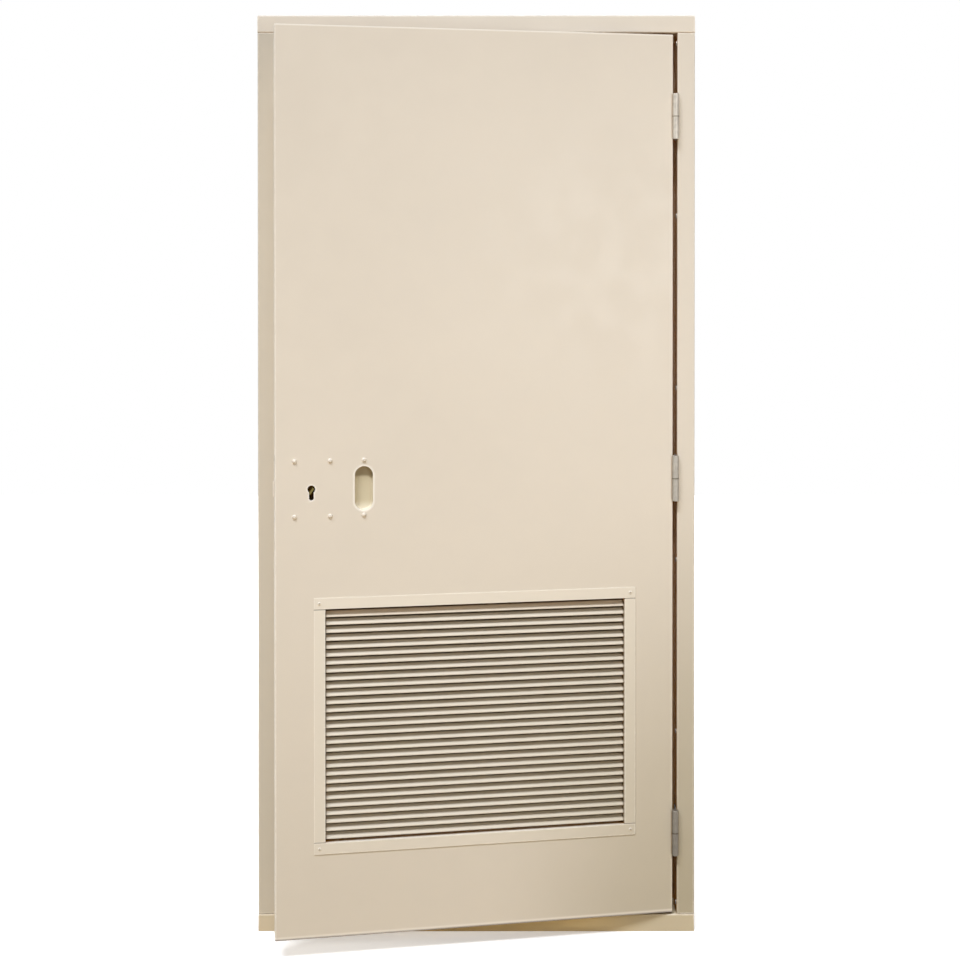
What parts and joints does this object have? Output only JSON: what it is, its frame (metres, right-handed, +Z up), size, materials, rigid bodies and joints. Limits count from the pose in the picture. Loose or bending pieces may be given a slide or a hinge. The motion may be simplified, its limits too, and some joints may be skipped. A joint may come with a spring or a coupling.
{
  "type": "steel utility door with louvre",
  "caption": "Painted pressed-steel door frame with a flush steel leaf, low louvre panel, flush pull, profile keyhole and lift-off hinges; the leaf stands ajar and swings.",
  "frame": {"origin": "middle of the sill's underside, half way through the frame's depth", "axes": "+X to the hinge side, +Y from the front face to the rear, +Z up"},
  "size_m": [1, 0.2674, 2.1],
  "materials": {
    "frame_paint": "satin cream paint",
    "leaf_paint": "satin cream paint",
    "louvre_paint": "satin cream paint",
    "hinge_steel": "zinc plated",
    "lock_steel": "zinc plated",
    "core_foam": "rigid foam"
  },
  "bodies": {
    "frame": {"bottom_hinge_jamb_half": "hinge_steel", "bottom_hinge_pin": "hinge_steel", "bottom_hinge_washer": "hinge_steel", "head": "frame_paint", "hinge_jamb": "frame_paint", "keep_plate": "lock_steel", "lock_jamb": "frame_paint", "middle_hinge_jamb_half": "hinge_steel", "middle_hinge_pin": "hinge_steel", "middle_hinge_washer": "hinge_steel", "sill": "frame_paint", "top_hinge_jamb_half": "hinge_steel", "top_hinge_pin": "hinge_steel", "top_hinge_washer": "hinge_steel"},
    "leaf": {"back_skin": "leaf_paint", "bottom_channel": "leaf_paint", "bottom_hinge_leaf_half": "hinge_steel", "core_above_louvre": "core_foam", "core_below_louvre": "core_foam", "core_beside_pull": "core_foam", "core_hinge_stile": "core_foam", "core_lock_stile": "core_foam", "core_round_pull": "core_foam", "core_upper": "core_foam", "dead_bolt": "lock_steel", "front_skin": "leaf_paint", "lock_box": "lock_steel", "lock_forend": "lock_steel", "louvre_blades": "louvre_paint", "louvre_front_bottom_rail": "louvre_paint", "louvre_front_hinge_stile": "louvre_paint", "louvre_front_lock_stile": "louvre_paint", "louvre_front_top_rail": "louvre_paint", "louvre_rear_bottom_rail": "louvre_paint", "louvre_rear_hinge_stile": "louvre_paint", "louvre_rear_lock_stile": "louvre_paint", "louvre_rear_top_rail": "louvre_paint", "middle_hinge_leaf_half": "hinge_steel", "pull_cup": "leaf_paint", "top_channel": "leaf_paint", "top_hinge_leaf_half": "hinge_steel"}
  },
  "joints": [
    {"name": "leaf_swing", "type": "hinge", "parent": "frame", "child": "leaf", "pos_m": [0.4555, -0.061, 1.05], "axis": [0, 0, 1], "range_deg": [-10, 100]}
  ]
}
